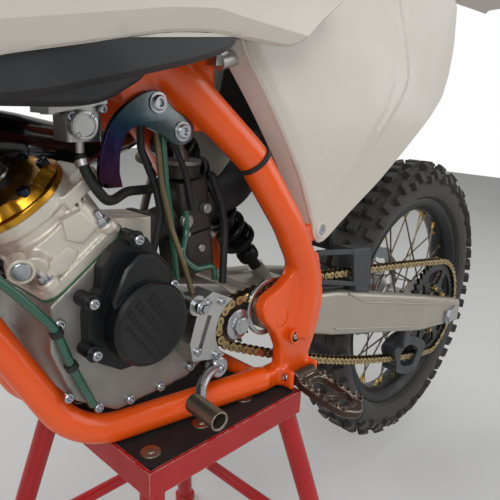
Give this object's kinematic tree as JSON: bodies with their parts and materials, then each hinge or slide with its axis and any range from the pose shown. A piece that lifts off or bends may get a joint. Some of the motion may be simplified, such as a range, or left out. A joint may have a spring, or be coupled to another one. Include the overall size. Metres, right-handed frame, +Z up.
{
  "type": "mini motocross bike",
  "caption": "Small off-road motorcycle with knobbly tyres, chain drive and two-stroke engine, standing on a red paddock stand.",
  "frame": {"origin": "on the floor, below the middle of the whole length, in the bike's middle plane", "axes": "+X forward, +Y to the rider's left, +Z up"},
  "size_m": [1.99, 0.744, 1.2191],
  "materials": {
    "tyre": "matt black rubber with knobs",
    "black_alloy": "black anodised rims, satin",
    "spoke_steel": "bright plated steel",
    "frame_orange": "satin orange powder coat",
    "stand_red": "worn red stand paint",
    "aluminium": "natural aluminium, satin",
    "cast_alloy": "grainy cast engine alloy",
    "black_metal": "black satin metal",
    "gold": "gold anodised, satin",
    "chain_gold": "gold plated chain plates",
    "dark_steel": "brown grey worn steel",
    "chrome": "polished fork legs",
    "white_plastic": "warm white moulded plastic",
    "dark_plastic": "dark grey moulded plastic",
    "tank_plastic": "dark grey translucent plastic",
    "seat_cover": "black grippy seat cover",
    "rubber": "matt black rubber",
    "clear_hose": "clear green vent hose",
    "heat_steel": "steel blued by heat"
  },
  "bodies": {
    "motorcycle": {"main_frame": "frame_orange", "subframe": "aluminium", "pivot_bolt": "spoke_steel", "swingarm": "aluminium", "rear_axle": "spoke_steel", "rear_shock": "black_metal", "crankcase": "cast_alloy", "ignition_cover": "black_metal", "clutch_cover": "cast_alloy", "cylinder": "cast_alloy", "cylinder_head": "gold", "carburettor": "black_metal", "airbox": "dark_plastic", "exhaust_pipe": "black_metal", "silencer": "aluminium", "fuel_tank": "tank_plastic", "seat": "seat_cover", "shrouds": "white_plastic", "side_panels": "white_plastic", "rear_fender": "white_plastic", "radiators": "aluminium", "head_stay": "heat_steel", "fuel_tap": "aluminium", "sprocket_cover": "aluminium", "drive_sprocket": "dark_steel", "black_hoses": "rubber", "vent_hoses": "clear_hose", "clutch_line": "dark_steel", "chain": "chain_gold", "chain_guide": "dark_plastic", "footpegs": "dark_steel", "gear_lever": "spoke_steel", "kick_starter": "dark_steel", "brake_pedal": "spoke_steel", "rear_caliper": "gold", "stand_frame": "stand_red", "stand_mat": "rubber"},
    "rear_wheel": {"rear_tyre": "tyre", "rear_rim": "black_alloy", "rear_hub": "spoke_steel", "rear_sprocket": "aluminium", "rear_disc": "spoke_steel"},
    "steering": {"fork_tubes": "gold", "fork_legs": "chrome", "front_axle": "spoke_steel", "triple_clamps": "aluminium", "handlebar": "black_metal", "grips": "rubber", "control_levers": "black_metal", "front_fender": "white_plastic", "number_plate": "white_plastic", "fork_guards": "white_plastic", "front_caliper": "gold"},
    "front_wheel": {"front_tyre": "tyre", "front_rim": "black_alloy", "front_hub": "spoke_steel", "front_disc": "spoke_steel"}
  },
  "joints": [
    {"name": "rear_wheel_spin", "type": "hinge", "parent": "motorcycle", "child": "rear_wheel", "pos_m": [-0.665, 0, 0.355], "axis": [0, 1, 0], "continuous": true},
    {"name": "steering", "type": "hinge", "parent": "motorcycle", "child": "steering", "pos_m": [0.3019, 0, 0.9974], "axis": [-0.4067, 0, 0.9135], "range_deg": [-42, 42]},
    {"name": "front_wheel_spin", "type": "hinge", "parent": "steering", "child": "front_wheel", "pos_m": [0.625, 0, 0.375], "axis": [0, 1, 0], "continuous": true}
  ]
}
